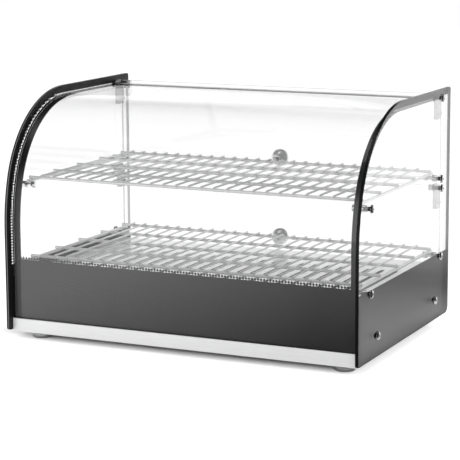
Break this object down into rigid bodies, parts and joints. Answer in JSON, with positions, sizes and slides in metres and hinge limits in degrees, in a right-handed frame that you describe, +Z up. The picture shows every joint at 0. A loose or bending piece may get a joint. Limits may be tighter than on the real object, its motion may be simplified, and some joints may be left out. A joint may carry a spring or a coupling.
{
  "type": "heated display case",
  "caption": "Countertop heated food display case with shaped glass sides, a bent glass front, wire shelves over a slotted heated deck and rear flap doors.",
  "frame": {"origin": "middle of the footprint, on the plane under the feet", "axes": "+Z up, +Y towards the back with the doors, +X to the right seen from the front"},
  "size_m": [0.561, 0.383, 0.361],
  "materials": {
    "panel_glass": "clear tempered glass with a dark grey screen print along the base and edges",
    "front_glass": "clear bent tempered glass with a black screen printed lower panel",
    "clear_acrylic": "clear acrylic",
    "brushed_trim": "stainless steel brushed along its length",
    "deck_steel": "bright stainless sheet",
    "pan_steel": "mill finish stainless sheet",
    "chrome": "polished chrome",
    "wire_chrome": "plated wire",
    "rubber": "matt black rubber",
    "black_plastic": "moulded black plastic",
    "element_steel": "heat darkened sheath",
    "mineral_wool": "pressed mineral wool",
    "ceramic": "glazed ceramic",
    "amber_lens": "amber lens"
  },
  "bodies": {
    "case": {"side_panel_left": "panel_glass", "side_panel_right": "panel_glass", "front_glass": "front_glass", "front_trim": "brushed_trim", "rear_panel": "brushed_trim", "heat_plate": "deck_steel", "base_pan": "pan_steel", "element_bracket_front": "pan_steel", "element_bracket_rear": "pan_steel", "stud_upper_front_left": "chrome", "stud_upper_front_right": "chrome", "stud_upper_rear_left": "chrome", "stud_upper_rear_right": "chrome", "stud_lower_front_left": "chrome", "stud_lower_front_right": "chrome", "stud_lower_rear_left": "chrome", "stud_lower_rear_right": "chrome", "base_screw_front_left": "chrome", "base_screw_front_right": "chrome", "base_screw_rear_left": "chrome", "base_screw_rear_right": "chrome", "hinge_pivot_upper_left": "chrome", "hinge_pivot_upper_right": "chrome", "hinge_pivot_lower_left": "chrome", "hinge_pivot_lower_right": "chrome", "thermostat_sensor": "chrome", "foot_front_left": "chrome", "foot_front_right": "chrome", "foot_rear_left": "chrome", "foot_rear_right": "chrome", "glass_bed_seal": "rubber", "wiring_loom": "rubber", "thermostat_body": "black_plastic", "switch_housing": "black_plastic", "cable_gland": "black_plastic", "heating_element_left": "element_steel", "heating_element_right": "element_steel", "insulation_pad": "mineral_wool", "terminal_block": "ceramic", "pilot_lamp": "amber_lens"},
    "upper_door": {"door_upper": "clear_acrylic", "knob_upper": "chrome", "knob_screw_upper": "chrome", "hinge_block_upper_left": "clear_acrylic", "block_screw_upper_left": "chrome", "hinge_block_upper_right": "clear_acrylic", "block_screw_upper_right": "chrome"},
    "lower_door": {"door_lower": "clear_acrylic", "knob_lower": "chrome", "knob_screw_lower": "chrome", "hinge_block_lower_left": "clear_acrylic", "block_screw_lower_left": "chrome", "hinge_block_lower_right": "clear_acrylic", "block_screw_lower_right": "chrome"},
    "upper_shelf": {"shelf_upper": "wire_chrome"},
    "lower_shelf": {"shelf_lower": "wire_chrome"},
    "thermostat_dial": {"thermostat_knob": "black_plastic", "thermostat_spindle": "chrome"},
    "rocker": {"switch_rocker": "black_plastic"}
  },
  "joints": [
    {"name": "upper_door_hinge", "type": "hinge", "parent": "case", "child": "upper_door", "pos_m": [0, 0.1455, 0.347], "axis": [1, 0, 0], "range_deg": [0, 90]},
    {"name": "lower_door_hinge", "type": "hinge", "parent": "case", "child": "lower_door", "pos_m": [0, 0.1455, 0.212], "axis": [1, 0, 0], "range_deg": [0, 60]},
    {"name": "upper_shelf_lift", "type": "slide", "parent": "case", "child": "upper_shelf", "axis": [0, 0, 1], "range_m": [0, 0.02]},
    {"name": "lower_shelf_lift", "type": "slide", "parent": "case", "child": "lower_shelf", "axis": [0, 0, 1], "range_m": [0, 0.02]},
    {"name": "thermostat_turn", "type": "hinge", "parent": "case", "child": "thermostat_dial", "pos_m": [-0.17, 0.1574, 0.05], "axis": [0, -1, 0], "range_deg": [0, 270]},
    {"name": "switch_rock", "type": "hinge", "parent": "case", "child": "rocker", "pos_m": [-0.07, 0.1571, 0.05], "axis": [1, 0, 0], "range_deg": [0, 16]}
  ]
}
